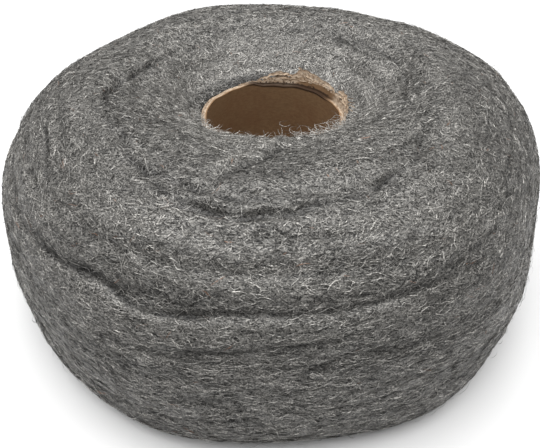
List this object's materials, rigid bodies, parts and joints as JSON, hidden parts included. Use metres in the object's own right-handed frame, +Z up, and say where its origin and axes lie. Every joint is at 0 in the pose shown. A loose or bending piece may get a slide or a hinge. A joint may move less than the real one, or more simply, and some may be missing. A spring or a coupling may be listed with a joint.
{
  "type": "steel wool roll",
  "caption": "Broad ribbon of coarse steel wool wound round a cardboard tube, standing on one end, with a shallow dish round the tube's torn rim.",
  "frame": {"origin": "middle of the footprint, on the surface the roll stands on", "axes": "+Z up along the tube, -Y towards the side where the wool stands over the tube's rim"},
  "size_m": [0.3148, 0.3134, 0.1287],
  "materials": {
    "steel_wool": "matted coarse steel fibres, dull grey",
    "cardboard": "brown kraft board with a pale torn rim"
  },
  "bodies": {
    "root": {"core_tube": "cardboard", "wool_roll": "steel_wool"}
  },
  "joints": []
}
